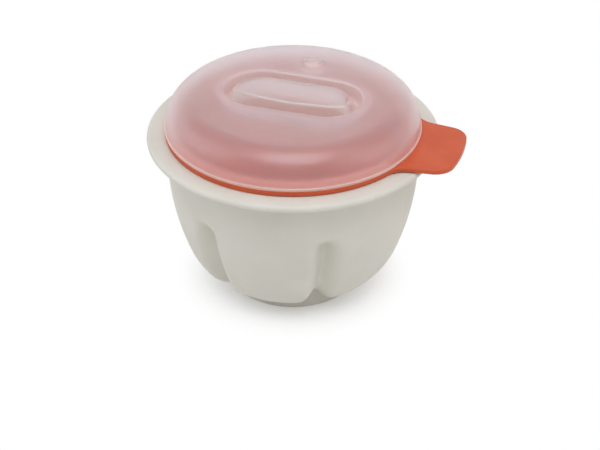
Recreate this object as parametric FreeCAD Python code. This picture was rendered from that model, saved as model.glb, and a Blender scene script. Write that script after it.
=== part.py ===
import FreeCAD, Part
import math
import os

from FreeCAD import Rotation, Vector

# Microwave egg cooker, in millimetres. A fluted pot holds the water, a drained cup
# with a flat tab hangs in it by its flange, and a translucent lid with a pinch grip
# and a steam vent rests on the flange. The origin is on the common axis at the foot,
# +Z is up and the tab points along +X. Each of the three is one moulding.

# Pot
pot_height = 70.4
pot_wall = 2.2
straight_wall = 10.4
pot_side_arc = 113.0
pot_corner_arc = 26.0
pot_base_arc = 600.0
base_height = 3.0

# Rim that turns out from the pot's mouth
rim_radius = 60.0
rim_width = 8.0
rim_thickness = 3.0
rim_root_fillet = 1.4
rim_inner_fillet = 0.8

# Foot ring under the pot, outside the flat of its base
foot_spread = 6.0
foot_wall = 2.4
foot_edge = 0.6

# Flutes pressed into the pot's wall, two on each side, each with a round top end
flute_turn = 3.2
flute_spread = 59.6
flute_top = 50.0
flute_depth = 5.4
flute_floor_arc = 3.0
flute_slope = 62.0
flute_mouth_arc = 5.4

# Cup
cup_wall = 1.6
cup_play = 0.6
collar_height = 5.0
bowl_depth = 33.0
bowl_side_dip = 1.0
bowl_corner_arc = 24.0
bowl_base_arc = 90.0

# Flange that the cup hangs by, and the bead on it that centres the lid
flange_overlap = 2.6
flange_thickness = 2.4
flange_edge = 0.5
bead_height = 2.5
bead_outer_fillet = 0.6
bead_inner_fillet = 1.2

# Drains through the bowl's floor
slot_count = 12
slot_width = 2.0
slot_inner_radius = 12.0
slot_outer_radius = 27.0
hole_count = 6
hole_radius = 1.1
hole_circle = 6.5

# Tab on the flange
tab_length = 18.6
tab_thickness = 1.8
tab_half_width = 17.2
tab_taper = 6.0
tab_corner = 8.5
tab_root_fillet = 10.0

# Lid: a dome on a short skirt, with a narrow band round its lower edge
lid_overhang = 0.2
lid_wall = 1.7
lid_height = 15.0
lid_skirt = 1.6
lid_side_arc = 25.0
lid_corner_rise = 1.0
lid_crown_arc = 1500.0
lid_play = 0.6
lid_edge = 0.3
band_height = 1.2
band_reach = 0.4
band_bevel = 0.25

# Pocket in the lid's top
pocket_half_straight = 13.7
pocket_radius = 14.6
pocket_depth = 6.4
pocket_draft = 5.0
pocket_rim_fillet = 1.2
pocket_floor_fillet = 1.4

# Hollow grip block that stands in the pocket
block_half_length = 24.0
block_back = 8.2
block_front = 5.8
block_front_bulge = 3.5
block_corner_arc = 11.0
block_corner_fillet = 0.9
block_rise = 0.6
block_draft = 3.0
block_edge = 0.5
block_foot_fillet = 0.9

# Steam vent behind the pocket: a half-round ramp with two slots at its deep end
vent_back = 30.2
vent_length = 6.8
vent_radius = 4.2
vent_depth = 1.3
vent_pad_margin = 1.4
vent_slot_width = 1.9
vent_slot_length = 1.5
vent_rib_width = 2.6

# Worked out from the sizes above
wall_radius = rim_radius - rim_width
flute_angles = [flute_turn + 90 * side + flute_spread / 2 * way for side in (-1, 1) for way in (-1, 1)]
collar_radius = wall_radius - pot_wall - cup_play
bowl_side_arc = bowl_depth + bowl_side_dip
flange_radius = wall_radius - pot_wall + flange_overlap
flange_top = pot_height + flange_thickness
tab_reach = flange_radius + tab_length
lid_radius = flange_radius + lid_overhang
dome_radius = lid_radius - band_reach
lid_corner_arc = lid_height - lid_skirt - lid_corner_rise
bead_radius = dome_radius - lid_wall - lid_play
lid_top = flange_top + lid_height
pocket_floor = lid_top - pocket_depth
block_top = lid_top + block_rise

# How far a cutting solid runs past what it cuts, how near counts as touching, and
# by how many degrees an upright edge may lean
beyond = 5.0
near_enough = 0.01
upright_within = 10.0


def at(radius, height):
    """A point in the meridian plane."""
    return Vector(radius, 0, height)


def arc(centre, radius, start, end):
    """The short arc about a centre from one point to another, in the meridian plane."""
    middle = (start + end) * 0.5 - centre
    middle.normalize()
    return Part.Arc(start, centre + middle * radius, end).toShape()


def path(*points):
    """Straight edges from each point to the next."""
    return [Part.makeLine(a, b) for a, b in zip(points, points[1:])]


def turned(edges):
    """The solid that a closed meridian outline sweeps about the axis."""
    return Part.Face(Part.Wire(edges)).revolve(Vector(0, 0, 0), Vector(0, 0, 1), 360)


def disc(radius, low, high):
    return Part.makeCylinder(radius, high - low, Vector(0, 0, low))


def prism(edges, height):
    """The upright solid on a closed plan outline."""
    return Part.Face(Part.Wire(edges)).extrude(Vector(0, 0, height))


def about_axis(shape, angle):
    """A copy of the shape turned about the upright axis."""
    copy = shape.copy()
    copy.rotate(Vector(0, 0, 0), Vector(0, 0, 1), angle)
    return copy


def middle_of(edge):
    return edge.valueAt((edge.FirstParameter + edge.LastParameter) / 2)


def radius_of(edge):
    """How far an edge's middle is from the upright axis."""
    middle = middle_of(edge)
    return math.hypot(middle.x, middle.y)


def is_level(edge, height):
    """Whether the whole edge lies at one height."""
    box = edge.BoundBox
    return max(abs(box.ZMin - height), abs(box.ZMax - height)) < near_enough


def is_upright(edge):
    """Whether the edge is a straight line that stands upright or nearly so."""
    run = edge.Vertexes[-1].Point - edge.Vertexes[0].Point
    return abs(run.z) > math.cos(math.radians(upright_within)) * edge.Length > 0


def rounded(shape, radius, wanted):
    """The shape with each edge that passes the test wanted rounded."""
    return shape.makeFillet(radius, [edge for edge in shape.Edges if wanted(edge)])


class Dish:
    """A dish's meridian: a side, a corner and a base arc, each tangent to the next.

    The side arc is upright at the lip, and the base arc is level on the axis. The way
    is 1 where the dish stands on its base and -1 where it is turned over. An inset
    takes the whole meridian in by a wall's thickness.
    """

    def __init__(self, lip_radius, lip_height, depth, side, corner, base, way):
        self.way = way
        self.side = side
        self.corner = corner
        self.base = base
        self.side_centre = at(lip_radius - side, lip_height)
        self.base_centre = at(0, lip_height - way * (depth - base))
        between = self.base_centre - self.side_centre
        near = side - corner
        far = base - corner
        along = (near**2 - far**2 + between.Length**2) / (2 * between.Length)
        across = math.sqrt(near**2 - along**2)
        between.normalize()
        sideways = at(between.z, -between.x) * way
        self.corner_centre = self.side_centre + between * along + sideways * across
        self.side_way = self.corner_centre - self.side_centre
        self.side_way.normalize()
        self.base_way = self.corner_centre - self.base_centre
        self.base_way.normalize()
        self.base_edge = base * self.base_way.x

    def solid(self, inset, mouth_height):
        """What lies inside the inset meridian, filled on from the lip to a height."""
        bottom = self.base_centre - at(0, self.way * (self.base - inset))
        base_join = self.base_centre + self.base_way * (self.base - inset)
        side_join = self.side_centre + self.side_way * (self.side - inset)
        lip = self.side_centre + at(self.side - inset, 0)
        return turned([
            arc(self.base_centre, self.base - inset, bottom, base_join),
            arc(self.corner_centre, self.corner - inset, base_join, side_join),
            arc(self.side_centre, self.side - inset, side_join, lip),
            *path(lip, at(lip.x, mouth_height), at(0, mouth_height), bottom),
        ])

    def is_on(self, point, inset):
        """Whether a point lies on the inset side, corner or base surface."""
        here = at(math.hypot(point.x, point.y), point.z)
        arcs = [(self.side_centre, self.side), (self.corner_centre, self.corner)]
        arcs.append((self.base_centre, self.base))
        offsets = [(here - centre).Length - radius + inset for centre, radius in arcs]
        return min(map(abs, offsets)) < 2 * near_enough


pot_dish = Dish(
    wall_radius, pot_height - straight_wall, pot_height - straight_wall - base_height,
    pot_side_arc, pot_corner_arc, pot_base_arc, 1,
)
bowl_dish = Dish(
    collar_radius, pot_height - collar_height, bowl_depth,
    bowl_side_arc, bowl_corner_arc, bowl_base_arc, 1,
)
lid_dish = Dish(
    dome_radius, flange_top + lid_skirt, lid_height - lid_skirt,
    lid_side_arc, lid_corner_arc, lid_crown_arc, -1,
)
foot_radius = pot_dish.base_edge + foot_spread


def flute_section(centre, upward, surface, inset, is_whole):
    """A flute's section in a plane through the centre that its wall bends about.

    It has a round floor between sloping sides, and runs out past the wall's surface.
    It is grown by the inset, and is whole or only its half on +Y.
    """
    slope = math.radians(flute_slope)
    floor = flute_floor_arc + inset
    hub = surface - flute_depth + flute_floor_arc
    side_out = floor * math.sin(slope)
    side_rise = hub - floor * math.cos(slope)
    top_rise = surface + beyond
    top_out = side_out + (top_rise - side_rise) / math.tan(slope)

    def place(out, rise):
        return centre + upward * rise + Vector(0, out, 0)

    bottom = place(0, hub - floor)
    low_side = place(side_out, side_rise)
    bend = place(floor * math.sin(slope / 2), hub - floor * math.cos(slope / 2))
    half = [Part.Arc(bottom, bend, low_side).toShape(), *path(low_side, place(top_out, top_rise))]
    if is_whole:
        half += [edge.mirror(Vector(0, 0, 0), Vector(0, 1, 0)) for edge in half]
        half += path(place(top_out, top_rise), place(-top_out, top_rise))
    else:
        half += path(place(top_out, top_rise), place(0, top_rise), bottom)
    return Part.Face(Part.Wire(Part.sortEdges(half)[0]))


def flute_half_width(inset):
    """Half the width of a flute's mouth in the wall's inset surface."""
    slope = math.radians(flute_slope)
    floor = flute_floor_arc + inset
    side_width = (flute_depth - floor * (1 - math.cos(slope))) / math.tan(slope)
    return floor * math.sin(slope) + side_width


def mouth_arc(inset):
    """The radius that rounds a flute's mouth in the inset surface.

    It is at most half of the wall that is left between two flutes at the foot.
    """
    apart = 2 * (foot_radius - inset) * math.sin(math.radians(flute_spread / 2))
    wall_left = apart - 2 * flute_half_width(inset)
    return min(flute_mouth_arc - inset, wall_left / 2)


def flute(inset):
    """A flute along +X, grown by the inset: a round top end, a side and a corner run."""
    half_width = flute_half_width(0)
    half_width += flute_mouth_arc * math.tan(math.radians(flute_slope) / 2)
    drop = pot_dish.side_centre.z - (flute_top - half_width)
    top_way = at(math.sqrt(1 - (drop / pot_side_arc) ** 2), -drop / pot_side_arc)
    side_turn = math.degrees(top_way.getAngle(pot_dish.side_way))
    corner_turn = math.degrees(pot_dish.side_way.getAngle(pot_dish.base_way))
    across = Vector(0, 1, 0)
    on_side = (pot_dish.side_centre, top_way, pot_side_arc, inset)
    on_corner = (pot_dish.corner_centre, pot_dish.side_way, pot_corner_arc, inset)
    end = flute_section(*on_side, False).revolve(pot_dish.side_centre, top_way, 180)
    side = flute_section(*on_side, True).revolve(pot_dish.side_centre, across, side_turn)
    corner = flute_section(*on_corner, True).revolve(pot_dish.corner_centre, across, corner_turn)
    whole = end.fuse([side, corner]).removeSplitter()
    return whole.cut(disc(foot_radius - inset, -beyond, pot_height))


def fluted(shape, inset):
    """The shape with the flutes cut into its wall and their mouths rounded."""
    tool = flute(inset)
    for angle in flute_angles:
        shape = shape.cut(about_axis(tool, angle))

    def is_mouth(edge):
        points = [middle_of(edge), *[vertex.Point for vertex in edge.Vertexes]]
        if not all(pot_dish.is_on(point, inset) for point in points):
            return False
        if points[0].z > flute_top or radius_of(edge) < foot_radius - inset + near_enough:
            return False
        turns = [Rotation(Vector(0, 0, 1), -angle) for angle in flute_angles]
        sides = [turn.multVec(points[0]) for turn in turns]
        return any(side.x > 0 and abs(side.y) < 2 * flute_depth for side in sides)

    return rounded(shape, mouth_arc(inset), is_mouth)


def make_pot():
    underside = pot_height - rim_thickness
    bead = rim_thickness / 2
    bead_centre = at(rim_radius - bead, underside + bead)
    rim = turned([
        *path(at(0, underside), at(bead_centre.x, underside)),
        arc(bead_centre, bead, at(bead_centre.x, underside), at(rim_radius, bead_centre.z)),
        arc(bead_centre, bead, at(rim_radius, bead_centre.z), at(bead_centre.x, pot_height)),
        *path(at(bead_centre.x, pot_height), at(0, pot_height), at(0, underside)),
    ])
    pot = fluted(pot_dish.solid(0, pot_height), 0).fuse(rim).removeSplitter()

    def is_rim_root(edge):
        return is_level(edge, underside) and abs(radius_of(edge) - wall_radius) < near_enough

    pot = rounded(pot, rim_root_fillet, is_rim_root)
    foot = disc(foot_radius, 0, base_height + pot_wall)
    foot = foot.cut(disc(foot_radius - foot_wall, -beyond, pot_height))
    foot = rounded(foot, foot_edge, lambda edge: is_level(edge, 0))
    pot = pot.fuse(foot).removeSplitter()
    pot = pot.cut(fluted(pot_dish.solid(pot_wall, pot_height + beyond), pot_wall))

    def is_mouth(edge):
        return is_level(edge, pot_height) and radius_of(edge) < wall_radius

    return rounded(pot, rim_inner_fillet, is_mouth)


def make_tab():
    """The tab's plate: tapered sides, round corners and a tip about the axis."""
    spread = tab_reach * math.tan(math.radians(tab_taper))
    tip = tab_reach + beyond
    tip_half = tab_half_width - beyond * math.tan(math.radians(tab_taper))
    root_half = tab_half_width + spread
    low = flange_top - tab_thickness
    corners = [
        Vector(0, -root_half, low), Vector(tip, -tip_half, low),
        Vector(tip, tip_half, low), Vector(0, root_half, low), Vector(0, -root_half, low),
    ]
    plate = prism(path(*corners), tab_thickness).common(disc(tab_reach, low, flange_top))

    def is_tip_corner(edge):
        return is_upright(edge) and middle_of(edge).x > flange_radius

    return rounded(plate, tab_corner, is_tip_corner)


def make_drains():
    """Radial slots through the bowl's floor, with a ring of small holes inside them."""
    low = pot_height - collar_height - bowl_depth - beyond
    height = bowl_depth
    half = slot_width / 2
    slot = Part.makeBox(
        slot_outer_radius - slot_inner_radius - slot_width, slot_width, height,
        Vector(slot_inner_radius + half, -half, low),
    )
    for end in (slot_inner_radius + half, slot_outer_radius - half):
        slot = slot.fuse(Part.makeCylinder(half, height, Vector(end, 0, low)))
    slot = slot.removeSplitter()
    hole = Part.makeCylinder(hole_radius, height, Vector(hole_circle, 0, low))
    slots = [about_axis(slot, 360 * i / slot_count) for i in range(slot_count)]
    holes = [about_axis(hole, 360 * i / hole_count) for i in range(hole_count)]
    return slots + holes


def make_cup():
    bead_top = flange_top + bead_height
    cup = bowl_dish.solid(0, flange_top)
    cup = cup.fuse([disc(flange_radius, pot_height, flange_top), make_tab()]).removeSplitter()

    def is_tab_root(edge):
        on_flange = abs(radius_of(edge) - flange_radius) < near_enough
        return is_upright(edge) and on_flange and middle_of(edge).x > 0

    def is_flange_edge(edge):
        outside = radius_of(edge) > flange_radius - near_enough
        return outside and (is_level(edge, flange_top) or is_level(edge, pot_height))

    cup = rounded(cup, tab_root_fillet, is_tab_root)
    cup = rounded(cup, flange_edge, is_flange_edge)
    cup = cup.fuse(disc(bead_radius, flange_top - cup_wall, bead_top)).removeSplitter()
    cup = cup.cut(bowl_dish.solid(cup_wall, bead_top + beyond))

    def is_bead_edge(edge, outer):
        is_outer = radius_of(edge) > bead_radius - near_enough
        return is_level(edge, bead_top) and is_outer == outer

    cup = rounded(cup, bead_outer_fillet, lambda edge: is_bead_edge(edge, True))
    cup = rounded(cup, bead_inner_fillet, lambda edge: is_bead_edge(edge, False))
    return cup.cut(make_drains())


def pocket_outline(grow, height):
    """The pocket's plan: two straight sides between half-round ends."""
    half = pocket_half_straight
    radius = pocket_radius + grow
    front = [Vector(-half, -radius, height), Vector(half, -radius, height)]
    back = [Vector(half, radius, height), Vector(-half, radius, height)]
    right = Part.Arc(front[1], Vector(half + radius, 0, height), back[0])
    left = Part.Arc(back[1], Vector(-half - radius, 0, height), front[0])
    return [*path(*front), right.toShape(), *path(*back), left.toShape()]


def block_outline(grow, height):
    """The grip block's plan: a bowed front, and a back with large round corners."""
    half = block_half_length + grow
    back = block_back + grow
    front = -block_front - grow
    corner = block_corner_arc + grow
    diagonal = corner * math.sqrt(0.5)
    front_arc = Part.Arc(
        Vector(-half, front, height),
        Vector(0, front - block_front_bulge, height),
        Vector(half, front, height),
    )
    right_arc = Part.Arc(
        Vector(half, back - corner, height),
        Vector(half - corner + diagonal, back - corner + diagonal, height),
        Vector(half - corner, back, height),
    )
    left_arc = Part.Arc(
        Vector(corner - half, back, height),
        Vector(corner - half - diagonal, back - corner + diagonal, height),
        Vector(-half, back - corner, height),
    )
    return [
        front_arc.toShape(),
        *path(Vector(half, front, height), Vector(half, back - corner, height)),
        right_arc.toShape(),
        *path(Vector(half - corner, back, height), Vector(corner - half, back, height)),
        left_arc.toShape(),
        *path(Vector(-half, back - corner, height), Vector(-half, front, height)),
    ]


def drafted(outline, low, low_grow, high, high_grow):
    """The solid between a plan outline at one height and the same one, grown, at another."""
    wires = [Part.Wire(outline(low_grow, low)), Part.Wire(outline(high_grow, high))]
    return Part.makeLoft(wires, True, True)


def pocket(inset):
    """The pocket's room, grown by the inset and run out past the lid's top."""
    low = pocket_floor - inset
    high = lid_top + beyond
    draft = math.radians(pocket_draft)
    wall = inset / math.cos(draft)
    spread = math.tan(draft)
    room = drafted(
        pocket_outline, low, wall - inset * spread, high, wall + (high - pocket_floor) * spread
    )
    return rounded(room, pocket_floor_fillet + inset, lambda edge: is_level(edge, low))


def grip_block(inset, low):
    """The grip block, taken in by the inset, from its top down to a height."""
    high = block_top - inset
    spread = math.tan(math.radians(block_draft))
    return drafted(block_outline, low, (block_top - low) * spread - inset, high, -inset)


def crown_height(offset):
    """The height of the lid's crown at a distance from the axis."""
    return lid_dish.base_centre.z + math.sqrt(lid_crown_arc**2 - offset**2)


def make_vent():
    """The vent's ramp with its two slots, cut down from above the lid."""
    near = vent_back - vent_length
    bend = near + vent_radius
    fall = vent_depth / vent_length
    low = crown_height(vent_back) - 2 * lid_wall - vent_depth
    high = lid_top + beyond
    right = vent_radius
    corners = [Vector(-right, bend, low), Vector(right, bend, low)]
    corners += [Vector(right, vent_back, low), Vector(-right, vent_back, low)]
    round_end = Part.Arc(corners[0], Vector(0, near, low), corners[1]).toShape()
    plan = prism([round_end, *path(*corners[1:], corners[0])], high - low)
    shallow = Vector(-beyond, near - beyond, crown_height(near) + fall * beyond)
    deep = Vector(-beyond, vent_back + beyond, crown_height(near) - fall * (vent_length + beyond))
    profile = path(
        shallow, deep, Vector(-beyond, deep.y, high), Vector(-beyond, shallow.y, high), shallow
    )
    vent = plan.common(Part.Face(Part.Wire(profile)).extrude(Vector(2 * beyond, 0, 0)))
    for left in (-vent_rib_width / 2 - vent_slot_width, vent_rib_width / 2):
        corner = Vector(left, vent_back - vent_slot_length, low)
        vent = vent.fuse(Part.makeBox(vent_slot_width, vent_slot_length, high - low, corner))
    return vent.removeSplitter()


def make_lid():
    band_top = flange_top + band_height
    band = disc(lid_radius, flange_top, band_top)
    band = band.makeChamfer(band_bevel, [edge for edge in band.Edges if is_level(edge, band_top)])
    lid = lid_dish.solid(0, flange_top).fuse(band).removeSplitter()
    lid = rounded(lid, lid_edge, lambda edge: is_level(edge, flange_top))
    lid = lid.cut([pocket(0), make_vent()])

    def is_pocket_rim(edge):
        middle = middle_of(edge)
        is_beside = abs(middle.y) < pocket_radius + pocket_depth
        is_within = abs(middle.x) < pocket_half_straight + pocket_radius + pocket_depth
        return lid_dish.is_on(middle, 0) and is_beside and is_within

    def is_front_corner(edge):
        return is_upright(edge) and middle_of(edge).y < -block_front / 2

    lid = rounded(lid, pocket_rim_fillet, is_pocket_rim)
    block = grip_block(0, pocket_floor - lid_wall / 2)
    block = rounded(block, block_corner_fillet, is_front_corner)
    block = rounded(block, block_edge, lambda edge: is_level(edge, block_top))
    lid = lid.fuse(block).removeSplitter()

    def is_block_foot(edge):
        middle = middle_of(edge)
        return is_level(edge, pocket_floor) and abs(middle.y) < block_back + block_front_bulge

    lid = rounded(lid, block_foot_fillet, is_block_foot)
    pad_middle = Vector(0, vent_back - vent_length / 2, pocket_floor)
    pad = Part.makeCylinder(vent_radius + vent_pad_margin, beyond, pad_middle)
    pad_low = crown_height(vent_back) - lid_wall - vent_depth
    pad.translate(Vector(0, 0, pad_low - pocket_floor))
    room = lid_dish.solid(lid_wall, flange_top - beyond).cut([pocket(lid_wall), pad])
    room = room.fuse(grip_block(lid_wall, pocket_floor - 2 * lid_wall))
    return lid.cut(room)


def main():
    os.makedirs("parts", exist_ok=True)
    pieces = {"water_pot": make_pot, "poaching_cup": make_cup, "vented_lid": make_lid}
    for name, make in pieces.items():
        shape = make()
        print(name, shape.isValid(), len(shape.Solids), round(shape.Volume))
        shape.exportStep(f"parts/{name}.step")


main()
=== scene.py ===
import math

import bmesh
import bpy
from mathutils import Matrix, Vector


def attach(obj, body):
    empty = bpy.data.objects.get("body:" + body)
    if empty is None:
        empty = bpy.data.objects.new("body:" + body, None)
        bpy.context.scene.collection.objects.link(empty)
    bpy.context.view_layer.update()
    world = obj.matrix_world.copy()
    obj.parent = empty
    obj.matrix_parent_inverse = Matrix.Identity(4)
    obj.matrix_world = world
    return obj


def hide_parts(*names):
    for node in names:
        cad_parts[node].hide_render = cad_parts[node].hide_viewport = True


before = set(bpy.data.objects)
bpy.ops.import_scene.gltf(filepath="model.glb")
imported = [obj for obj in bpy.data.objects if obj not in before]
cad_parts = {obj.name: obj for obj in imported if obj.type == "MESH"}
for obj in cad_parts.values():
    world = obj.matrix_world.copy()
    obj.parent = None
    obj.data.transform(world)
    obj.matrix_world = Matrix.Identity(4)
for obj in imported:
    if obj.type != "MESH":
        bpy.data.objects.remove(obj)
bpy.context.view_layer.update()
scene = bpy.context.scene
print("frame loaded:", ", ".join(sorted(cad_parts)))


class Wire:  # one output socket, so that node maths reads as plain sums
    def __init__(self, tree, node, output=0):
        self.tree = tree
        self.node = node
        self.socket = node.outputs[output] if len(node.outputs) else None

    def out(self, name):  # another output of the same node
        return Wire(self.tree, self.node, name)

    def __add__(self, other):
        return self.tree.calc("ADD", self, other)

    def __radd__(self, other):
        return self.tree.calc("ADD", other, self)

    def __sub__(self, other):
        return self.tree.calc("SUBTRACT", self, other)

    def __rsub__(self, other):
        return self.tree.calc("SUBTRACT", other, self)

    def __mul__(self, other):
        return self.tree.calc("MULTIPLY", self, other)

    def __rmul__(self, other):
        return self.tree.calc("MULTIPLY", other, self)


class Tree:  # adds and links the nodes of one node tree
    def __init__(self, nodeTree):
        self.nodes = nodeTree.nodes
        self.links = nodeTree.links
        self.nodes.clear()

    def add(self, kind, settings=None, values=None, output=0):
        node = self.nodes.new(kind)
        for name, value in (settings or {}).items():
            setattr(node, name, value)
        for key, value in (values or {}).items():
            self.feed(node.inputs[key], value)
        return Wire(self, node, output)

    def calc(self, operation, first, second=0.0):
        return self.add("ShaderNodeMath", {"operation": operation}, {0: first, 1: second})

    def feed(self, socket, value):
        if isinstance(value, Wire):
            self.links.new(value.socket, socket)
        else:
            socket.default_value = value


def newMaterial(name):
    material = bpy.data.materials.new(name)
    material.use_nodes = True
    return material, Tree(material.node_tree)


def dress(nodeName, material):  # gives a CAD node its finish
    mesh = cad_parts[nodeName].data
    mesh.materials.clear()
    mesh.materials.append(material)


def objectPlace(tree):
    return tree.add("ShaderNodeTexCoord", output="Object")


def axes(tree, vector):  # the three numbers of a vector
    first = tree.add("ShaderNodeSeparateXYZ", None, {"Vector": vector}, "X")
    return first, first.out("Y"), first.out("Z")


def diagonal(tree, first, second):  # length of two distances at right angles
    return tree.calc("SQRT", first * first + second * second)


def noise(tree, place, scale, detail=3.0):
    return tree.add("ShaderNodeTexNoise", None, {"Vector": place, "Scale": scale, "Detail": detail})


def ramp(tree, value, low, high, lowest=0.0, highest=1.0):  # a smooth step between two values
    return tree.add("ShaderNodeMapRange", {"interpolation_type": "SMOOTHSTEP"}, {
        "Value": value, "From Min": low, "From Max": high, "To Min": lowest, "To Max": highest,
    })


def mixColour(tree, share, first, second):
    values = {0: share, "A": first, "B": second}
    return tree.add("ShaderNodeMix", {"data_type": "RGBA"}, values, "Result")


def mixShader(tree, share, first, second):
    return tree.add("ShaderNodeMixShader", None, {0: share, 1: first, 2: second})


def grainNormal(tree, place, look):
    return tree.add("ShaderNodeBump", None, {
        "Strength": 1.0, "Distance": look["grainDepth"], "Height": noise(tree, place, look["grain"]),
    })


stone = {
    "pale": (0.698, 0.664, 0.596, 1),
    "deep": (0.673, 0.640, 0.568, 1),
    "patches": 55.0,
    "colourStep": (0.35, 0.65),  # of the patches' noise, from pale to deep
    "roughness": (0.50, 0.60),
    "roughStep": (0.3, 0.7),
    "grain": 2600.0,
    "grainDepth": 0.00001,
}

orange = {
    "pale": (0.605, 0.090, 0.022, 1),
    "deep": (0.575, 0.080, 0.018, 1),
    "patches": 70.0,
    "colourStep": (0.35, 0.65),
    "roughness": (0.36, 0.44),
    "roughStep": (0.3, 0.7),
    "grain": 3000.0,
    "grainDepth": 0.000008,
}


def plainPlastic(name, look):
    material, tree = newMaterial(name)
    place = objectPlace(tree)
    patches = noise(tree, place, look["patches"])
    share = ramp(tree, patches, *look["colourStep"])
    shader = tree.add("ShaderNodeBsdfPrincipled", None, {
        "Base Color": mixColour(tree, share, look["pale"], look["deep"]),
        "Roughness": ramp(tree, patches, *look["roughStep"], *look["roughness"]),
        "Normal": grainNormal(tree, place, look),
    })
    tree.add("ShaderNodeOutputMaterial", None, {"Surface": shader})
    return material


frosted = {
    "tint": (0.920, 0.880, 0.930, 1),
    "haze": (0.94, 0.900, 0.860, 1),
    "roughness": 0.28,
    "clear": 0.95,  # light let through by the clear share of the plastic
    "milky": 0.45,  # and by the hazy share
    "ior": 1.45,
    "gloss": 0.75,
    "through": 0.35,  # share of the haze that is lit from the far side
    "passing": (0.97, 0.95, 0.95, 1),
    "shade": 0.93,  # light that gets through to what lies under it
    "grain": 1800.0,
    "grainDepth": 0.000006,
    "allOver": 0.08,  # haze where the wall is looked at squarely
    "edge": 0.35,  # how soon it grows towards the edges
    "pocketHalf": 0.0137,  # the pocket's plan, as in the lid
    "pocketRadius": 0.0158,
    "pocketSoft": 0.0006,
    "pocketHaze": 0.69,
    "blockHalf": 0.0237,  # the top of the grip block
    "blockFront": -0.0056,
    "blockBulge": 0.0035,
    "blockBack": 0.0080,
    "blockSoft": (0.0003, 0.0005),  # outside and inside its outline
    "blockHaze": 0.14,
    "ventAt": (0.0, 0.0272, 0.0865),
    "ventReach": 0.0046,
    "ventSoft": 0.0010,
    "ventHaze": 0.95,
    "paintedLight": (0.95, 0.42, 0.37, 1),  # painted glow: the orange flange's light, painted into the skirt as an opaque rose colour
    "skirtGlowFrom": 0.0785,
    "skirtGlowFull": 0.0752,
    "paintedLightShare": 0.45,
    "under": (0.0157, 0.0186, 0.0862),  # painted shade: a darker rose painted on the outside of the pocket's wall, below the crown
    "underSoft": (0.0003, 0.0004),
    "underShadeColour": (0.64, 0.37, 0.38, 1),
    "underShadeShare": 0.66,
    "edgeHighlightTop": 0.0744,  # painted highlight: a pale band painted round the narrow lower edge
    "edgeHighlightSoft": 0.0003,
    "edgeHighlightColour": (0.98, 0.66, 0.60, 1),
    "edgeHighlightShare": 0.60,
}


def pocketReach(tree, across, depth, look):  # distance from the pocket's middle line, in plan
    past = tree.calc("MAXIMUM", tree.calc("ABSOLUTE", across) - look["pocketHalf"], 0.0)
    return diagonal(tree, past, depth)


def blockMask(tree, across, depth, look):  # 1 on the block's top, whose front edge bulges
    half, front, back = look["blockHalf"], look["blockFront"], look["blockBack"]
    outside, inside = look["blockSoft"]
    along = across * (1 / half)
    bulged = depth + (1 - along * along) * look["blockBulge"]
    ends = ramp(tree, tree.calc("ABSOLUTE", across), half + outside, half - inside)
    frontEdge = ramp(tree, bulged, front - outside, front + inside)
    backEdge = ramp(tree, depth, back + outside, back - inside)
    return ends * frontEdge * backEdge


def hazeShare(tree, place, slant, look):  # how milky the lid is at each point
    across, depth = axes(tree, place)[:2]
    radius, soft = look["pocketRadius"], look["pocketSoft"]
    pocket = ramp(tree, pocketReach(tree, across, depth, look), radius + soft, radius - soft)
    block = blockMask(tree, across, depth, look)
    pocket = pocket * look["pocketHaze"] * (1 - block) + block * look["blockHaze"]
    toVent = tree.add("ShaderNodeVectorMath", {"operation": "DISTANCE"}, {
        0: place, 1: look["ventAt"],
    }, "Value")
    rim = look["ventReach"]
    vent = ramp(tree, toVent, rim, rim - look["ventSoft"]) * look["ventHaze"]
    share = slant * slant + look["allOver"]
    for part in (pocket, vent):
        share = tree.calc("MAXIMUM", share, part)
    return share


def paintedLightLook(tree, place, slant, look):  # where light is painted into the plastic, and its colour: a painted glow in the skirt, painted shade under the pocket's wall and a painted highlight along the lower edge
    across, depth, height = axes(tree, place)
    # the painted glow grows towards the skirt
    low = ramp(tree, height, look["skirtGlowFrom"], look["skirtGlowFull"])
    skirt = low * (1 - slant) * look["paintedLightShare"]
    inner, outer, top = look["under"]
    sideSoft, topSoft = look["underSoft"]
    reach = pocketReach(tree, across, depth, look)
    # painted shade on the outside of the pocket's wall, below the crown
    under = ramp(tree, reach, inner, inner + sideSoft) * ramp(tree, reach, outer + sideSoft, outer)
    under = under * ramp(tree, height, top, top - topSoft) * look["underShadeShare"]
    # painted highlight along the lower edge
    edge = ramp(tree, height, look["edgeHighlightTop"], look["edgeHighlightTop"] - look["edgeHighlightSoft"])
    share = tree.calc("MAXIMUM", skirt, under)
    share = tree.calc("MAXIMUM", share, edge * look["edgeHighlightShare"])
    colour = mixColour(tree, low, look["underShadeColour"], look["paintedLight"])
    return share, mixColour(tree, edge, colour, look["edgeHighlightColour"])


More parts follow.
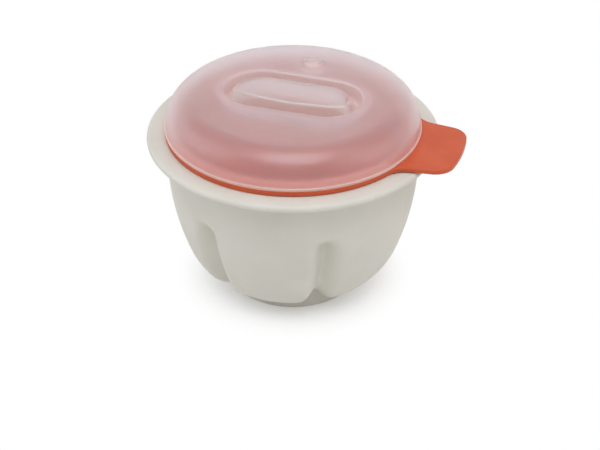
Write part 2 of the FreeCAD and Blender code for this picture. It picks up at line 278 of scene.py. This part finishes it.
def frostedPlastic(name, look):
    material, tree = newMaterial(name)
    place = objectPlace(tree)
    normal = grainNormal(tree, place, look)

    def letsThrough(colour, share):
        return tree.add("ShaderNodeBsdfPrincipled", None, {
            "Base Color": colour,
            "Roughness": look["roughness"],
            "Transmission Weight": share,
            "IOR": look["ior"],
            "Specular IOR Level": look["gloss"],
            "Normal": normal,
        })

    clear = letsThrough(look["tint"], look["clear"])
    milky = letsThrough(look["haze"], look["milky"])
    glow = tree.add("ShaderNodeBsdfTranslucent", None, {"Color": look["haze"], "Normal": normal})
    slant = tree.add("ShaderNodeLayerWeight", None, {"Blend": look["edge"]}, "Facing")
    haze = mixShader(tree, look["through"], milky, glow)
    plastic = mixShader(tree, hazeShare(tree, place, slant, look), clear, haze)
    paintedLightShare, paintedLightColour = paintedLightLook(tree, place, slant, look)
    # an opaque plastic whose colour is painted light: glow, shade and highlight
    paintedLight = tree.add("ShaderNodeBsdfPrincipled", None, {
        "Base Color": paintedLightColour, "Roughness": look["roughness"], "Normal": normal,
    })
    plastic = mixShader(tree, paintedLightShare, plastic, paintedLight)
    passing = tree.add("ShaderNodeBsdfTransparent", None, {"Color": look["passing"]})
    shadowRay = tree.add("ShaderNodeLightPath", output="Is Shadow Ray")
    surface = mixShader(tree, shadowRay * look["shade"], plastic, passing)
    tree.add("ShaderNodeOutputMaterial", None, {"Surface": surface})
    return material


stonePlastic = plainPlastic("stonePlastic", stone)
dress("water_pot", stonePlastic)
dress("poaching_cup", plainPlastic("orangePlastic", orange))
dress("vented_lid", frostedPlastic("frostedPlastic", frosted))
print("materials done")

pot = {  # metres, the same sizes as in the CAD
    "height": 0.0704,
    "wall": 0.0022,
    "mouth": 0.0520,  # outside of the wall under the rim
    "straight": 0.0600,  # the wall stands upright above this
    "sideArc": 0.1130,
    "cornerArc": 0.0260,
    "baseArc": 0.6000,
    "base": 0.0030,
    "rim": 0.0600,
    "rimThickness": 0.0030,
    "rimRoot": 0.0014,
    "rimInner": 0.0008,
    "footSpread": 0.0060,
    "footWall": 0.0024,
    "footEdge": 0.0006,
    "columns": 360,
    "sharpAngle": math.radians(35),  # edges that turn further than this stay sharp
    "mergeReach": 0.000002,
    "points": {  # along each arc of the outline
        "base": 8,
        "footInside": 5,
        "footEdge": 5,
        "corner": 44,
        "side": 36,
        "rimRoot": 7,
        "rimEdge": 15,
        "rimInner": 6,
        "innerSide": 30,
        "innerCorner": 34,
    },
}

flutes = {  # the inputs of the node tree
    "Flute turn": math.radians(93.7),  # the middle between two of them
    "Flute spread": math.radians(59.6),
    "Flute top": 0.0518,
    "Flute half width": 0.0095,
    "Flute depth": 0.0054,
}


def arcPoints(centre, radius, start, end, count):  # angles in degrees, both ends included
    turns = [math.radians(start + (end - start) * i / (count - 1)) for i in range(count)]
    return [(centre[0] + radius * math.cos(a), centre[1] + radius * math.sin(a)) for a in turns]


def potArcs():  # where the corner arc sits so that it meets the side and the base smoothly
    side = (pot["mouth"] - pot["sideArc"], pot["straight"])
    base = (0.0, pot["base"] + pot["baseArc"])
    apart = math.dist(side, base)
    near, far = pot["sideArc"] - pot["cornerArc"], pot["baseArc"] - pot["cornerArc"]
    along = (near**2 - far**2 + apart**2) / (2 * apart)
    across = math.sqrt(near**2 - along**2)
    wayX, wayZ = (base[0] - side[0]) / apart, (base[1] - side[1]) / apart
    corner = (side[0] + wayX * along + wayZ * across, side[1] + wayZ * along - wayX * across)
    return side, corner, base


def potMeridian():  # rows of reach, height, inset and the way inwards, round from axis to axis
    side, corner, base = potArcs()
    sideTurn = math.degrees(math.atan2(corner[1] - side[1], corner[0] - side[0]))
    baseTurn = math.degrees(math.atan2(corner[1] - base[1], corner[0] - base[0]))
    footRadius = pot["baseArc"] * math.cos(math.radians(baseTurn)) + pot["footSpread"]
    wall, count = pot["wall"], pot["points"]
    rows = []

    def plain(points, inset=0.0):
        rows.extend((x, z, inset, 0.0, 0.0) for x, z in points)

    def pressed(centre, radius, start, end, steps, inset):  # the part that the flutes may press in
        hair = 0.000001
        for x, z in arcPoints(centre, radius - inset, start, end, steps):
            into = 0.0 if x < footRadius - inset - hair else 1 / (radius - inset)
            rows.append((x, z, inset, (centre[0] - x) * into, (centre[1] - z) * into))

    def turnAt(reach):  # where the outer corner arc has this radius
        return -math.degrees(math.acos((reach - corner[0]) / pot["cornerArc"]))

    inner, edge = footRadius - pot["footWall"], pot["footEdge"]
    plain(arcPoints(base, pot["baseArc"], -90, baseTurn, count["base"]))
    plain(arcPoints(corner, pot["cornerArc"], baseTurn, turnAt(inner), count["footInside"])[1:])
    plain(arcPoints((inner + edge, edge), edge, 180, 270, count["footEdge"]))
    plain(arcPoints((footRadius - edge, edge), edge, -90, 0, count["footEdge"]))
    pressed(corner, pot["cornerArc"], turnAt(footRadius), sideTurn, count["corner"], 0.0)
    rows.pop()  # the next arc starts on the same point
    pressed(side, pot["sideArc"], sideTurn, 0, count["side"], 0.0)
    under = pot["height"] - pot["rimThickness"]
    root, half = pot["rimRoot"], pot["rimThickness"] / 2
    plain(arcPoints((pot["mouth"] + root, under - root), root, 180, 90, count["rimRoot"]))
    plain(arcPoints((pot["rim"] - half, under + half), half, -90, 90, count["rimEdge"]))
    lip, bend = pot["mouth"] - wall, pot["rimInner"]
    plain(arcPoints((lip + bend, pot["height"] - bend), bend, 90, 180, count["rimInner"]), wall)
    pressed(side, pot["sideArc"], 0, sideTurn, count["innerSide"], wall)
    rows.pop()
    pressed(corner, pot["cornerArc"], sideTurn, baseTurn, count["innerCorner"], wall)
    rows.pop()
    plain(arcPoints(base, pot["baseArc"] - wall, baseTurn, -90, count["base"]), wall)
    return rows, footRadius


def meridianPiece(rows):  # a line of edges that carries the rows as attributes
    mesh = bpy.data.meshes.new("fluted_pot")
    points = [(row[0], row[1], 0) for row in rows]
    mesh.from_pydata(points, [(i, i + 1) for i in range(len(rows) - 1)], [])
    meridian = mesh.attributes.new("meridian", "FLOAT_VECTOR", "POINT")
    inward = mesh.attributes.new("inward", "FLOAT_VECTOR", "POINT")
    for i, (reach, height, inset, inX, inZ) in enumerate(rows):
        meridian.data[i].vector = (reach, height, inset)
        inward.data[i].vector = (inX, inZ, 0)
    piece = bpy.data.objects.new("fluted_pot", mesh)
    scene.collection.objects.link(piece)
    return piece


def flutedPlace(tree, given):  # where each point of the turned pot goes
    across, depth = axes(tree, tree.add("GeometryNodeInputPosition"))[:2]
    angle = tree.calc("ARCTAN2", depth, across)
    vector = {"data_type": "FLOAT_VECTOR"}
    meridian = tree.add("GeometryNodeInputNamedAttribute", vector, {"Name": "meridian"}, "Attribute")
    inward = tree.add("GeometryNodeInputNamedAttribute", vector, {"Name": "inward"}, "Attribute")
    reach, height, inset = axes(tree, meridian)
    inReach, inHeight = axes(tree, inward)[:2]

    quarter = math.pi / 2  # the pattern comes again every half turn
    folded = tree.add("ShaderNodeMath", {"operation": "WRAP"}, {
        0: angle - given.out("Flute turn"), 1: quarter, 2: -quarter,
    })
    aside = (tree.calc("ABSOLUTE", folded) - given.out("Flute spread") * 0.5) * reach
    width = given.out("Flute half width")
    above = tree.calc("MAXIMUM", height - given.out("Flute top") + width, 0.0)
    bell = ramp(tree, diagonal(tree, aside, above), width, 0.0)
    press = bell * bell * given.out("Flute depth")
    least = tree.calc("MINIMUM", reach, given.out("Foot radius") - inset)
    newReach = tree.calc("MAXIMUM", reach + inReach * press, least)
    return tree.add("ShaderNodeCombineXYZ", None, {
        "X": newReach * tree.calc("COSINE", angle),
        "Y": newReach * tree.calc("SINE", angle),
        "Z": height + inHeight * press,
    })


def potTree(sizes):  # the node tree, and its inputs' identifiers by name
    group = bpy.data.node_groups.new("flutedPot", "GeometryNodeTree")
    face = group.interface
    face.new_socket("Geometry", in_out="INPUT", socket_type="NodeSocketGeometry")
    sockets = {}
    for name, value in sizes.items():
        kind = "NodeSocketInt" if isinstance(value, int) else "NodeSocketFloat"
        sockets[name] = face.new_socket(name, in_out="INPUT", socket_type=kind).identifier
    face.new_socket("Geometry", in_out="OUTPUT", socket_type="NodeSocketGeometry")
    tree = Tree(group)
    given = tree.add("NodeGroupInput")
    outline = tree.add("GeometryNodeMeshToCurve", None, {"Mesh": given.out("Geometry")})
    ring = tree.add("GeometryNodeCurvePrimitiveCircle", None, {
        "Resolution": given.out("Columns"), "Radius": 1.0,
    })
    turned = tree.add("GeometryNodeCurveToMesh", None, {"Curve": ring, "Profile Curve": outline})
    pressedIn = tree.add("GeometryNodeSetPosition", None, {
        "Geometry": turned, "Position": flutedPlace(tree, given),
    })
    outwards = tree.add("GeometryNodeFlipFaces", None, {"Mesh": pressedIn})
    closed = tree.add("GeometryNodeMergeByDistance", None, {
        "Geometry": outwards, "Distance": pot["mergeReach"],
    })
    sharp = tree.calc("GREATER_THAN", tree.add("GeometryNodeInputMeshEdgeAngle"), pot["sharpAngle"])
    shaded = tree.add("GeometryNodeSetShadeSmooth", {"domain": "EDGE"}, {
        "Geometry": closed, "Selection": sharp, "Shade Smooth": False,
    })
    real = tree.add("GeometryNodeRealizeInstances", None, {"Geometry": shaded})
    dressed = tree.add("GeometryNodeSetMaterial", None, {"Geometry": real, "Material": stonePlastic})
    tree.add("NodeGroupOutput", None, {"Geometry": dressed})
    return group, sockets


def flutedPot():
    rows, footRadius = potMeridian()
    piece = meridianPiece(rows)
    sizes = {**flutes, "Foot radius": footRadius, "Columns": pot["columns"]}
    group, sockets = potTree(sizes)
    modifier = piece.modifiers.new("flutes", "NODES")
    modifier.node_group = group
    for name, value in sizes.items():
        modifier[sockets[name]] = value
    finished = piece.evaluated_get(bpy.context.evaluated_depsgraph_get())
    result = bpy.data.meshes.new_from_object(finished)
    piece.modifiers.remove(modifier)
    piece.data = result
    result.name = "fluted_pot"
    for name in ("meridian", "inward"):
        result.attributes.remove(result.attributes[name])
    solid = bmesh.new()
    solid.from_mesh(result)
    millilitres = solid.calc_volume(signed=True) * 1e6  # over 0 when the faces point outwards
    solid.free()
    print("pot:", len(result.polygons), "faces,", round(millilitres, 2), "ml of plastic")
    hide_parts("water_pot")
    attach(piece, "root")


flutedPot()

white = (1, 1, 1, 1)

floorLook = {
    "size": 6.0,
    "colour": (0.85, 0.85, 0.84, 1),
    "glow": 0.135,
    "shadowFull": 0.022,  # metres from the middle where the shadow starts to fade
    "shadowEnd": 0.052,
}


def seenDirectly(tree):  # 1 for camera rays and for what gloss and clear plastic show
    camera = tree.add("ShaderNodeLightPath", output="Is Camera Ray")
    glossy = tree.calc("MAXIMUM", camera, camera.out("Is Glossy Ray"))
    return tree.calc("MAXIMUM", glossy, camera.out("Is Transmission Ray"))


def makeFloor():
    half = floorLook["size"] / 2
    mesh = bpy.data.meshes.new("floor")
    corners = [(-half, -half, 0), (half, -half, 0), (half, half, 0), (-half, half, 0)]
    mesh.from_pydata(corners, [], [(0, 1, 2, 3)])
    floor = bpy.data.objects.new("floor", mesh)
    scene.collection.objects.link(floor)
    material, tree = newMaterial("floorPaper")
    paper = tree.add("ShaderNodeBsdfDiffuse", None, {"Color": floorLook["colour"]})
    glow = tree.add("ShaderNodeEmission", None, {"Color": white, "Strength": floorLook["glow"]})
    lit = tree.add("ShaderNodeAddShader", None, {0: paper, 1: glow})
    bare = tree.add("ShaderNodeEmission", None, {"Color": white, "Strength": 1.0})
    place = objectPlace(tree)
    middle = tree.add("ShaderNodeVectorMath", {"operation": "LENGTH"}, {0: place}, "Value")
    fade = ramp(tree, middle, floorLook["shadowFull"], floorLook["shadowEnd"])
    bright = mixShader(tree, fade, lit, bare)
    surface = mixShader(tree, seenDirectly(tree), paper, bright)
    tree.add("ShaderNodeOutputMaterial", None, {"Surface": surface})
    mesh.materials.append(material)


makeFloor()
print("floor done")

lights = {
    "world": 0.51,
    "darkSide": (0.309, -0.951, 0.0),  # the unlit end of the room, which gloss shows
    "darkStep": (0.15, 0.65),
    "dark": 0.35,
    "upperWall": 0.46,
    "horizon": (0.44, 0.66),
    "aim": (0.0, 0.0, 0.05),
    "top": {"at": (0.11, -0.34, 1.05), "size": 0.8, "power": 4.6, "colour": (0.93, 1.0, 1.06)},
    "left": {"at": (-1.00, -0.35, 0.72), "size": 1.2, "power": 3.25, "colour": (0.99, 1.0, 1.03)},
    "right": {"at": (1.05, -0.02, 0.72), "size": 1.0, "power": 2.6, "colour": (1.0, 0.965, 0.93)},
}


def makeWorld():
    world = bpy.data.worlds.new("studio")
    world.use_nodes = True
    tree = Tree(world.node_tree)
    way = tree.add("ShaderNodeTexCoord", output="Generated")
    towards = tree.add("ShaderNodeVectorMath", {"operation": "DOT_PRODUCT"}, {
        0: way, 1: lights["darkSide"],
    }, "Value")
    height = axes(tree, way)[2]
    glossy = tree.add("ShaderNodeLightPath", output="Is Glossy Ray")
    room = 1 - ramp(tree, height, *lights["horizon"]) * (1 - lights["upperWall"])
    room = room * (1 - ramp(tree, towards, *lights["darkStep"]) * (1 - lights["dark"]))
    strength = 1 - (1 - room) * glossy
    soft = tree.add("ShaderNodeBackground", None, {"Color": white, "Strength": lights["world"]})
    seen = tree.add("ShaderNodeBackground", None, {"Color": white, "Strength": strength})
    surface = mixShader(tree, seenDirectly(tree), soft, seen)
    tree.add("ShaderNodeOutputWorld", None, {"Surface": surface})
    scene.world = world


def makeLamp(name):
    look = lights[name]
    data = bpy.data.lights.new(name, "AREA")
    data.shape = "DISK"
    data.size = look["size"]
    data.energy = look["power"]
    data.color = look["colour"]
    lamp = bpy.data.objects.new(name, data)
    lamp.location = look["at"]
    towards = Vector(lights["aim"]) - lamp.location
    lamp.rotation_euler = towards.to_track_quat("-Z", "Y").to_euler()
    scene.collection.objects.link(lamp)


makeWorld()
for lampName in ("top", "left", "right"):
    makeLamp(lampName)
print("lights done")

view = {
    "turn": 18.0,  # degrees that the camera goes round towards +X
    "rise": 33.18,  # degrees above the floor
    "reach": 0.700,  # metres from the point that it looks at
    "aim": (0, 0, 0.02347),
    "lens": 98.6,
    "sensor": 36.0,
    "shift": (0.0115, 0.0),
    "nearest": 0.01,
}


def makeCamera():
    data = bpy.data.cameras.new("camera")
    data.lens = view["lens"]
    data.sensor_width = view["sensor"]
    data.shift_x, data.shift_y = view["shift"]
    data.clip_start = view["nearest"]
    turn, rise = math.radians(view["turn"]), math.radians(view["rise"])
    away = Vector((math.sin(turn) * math.cos(rise), -math.cos(turn) * math.cos(rise), math.sin(rise)))
    camera = bpy.data.objects.new("camera", data)
    camera.location = Vector(view["aim"]) + away * view["reach"]
    camera.rotation_euler = (-away).to_track_quat("-Z", "Y").to_euler()
    scene.collection.objects.link(camera)
    scene.camera = camera


makeCamera()
scene.view_settings.view_transform = "Standard"
print("camera done")
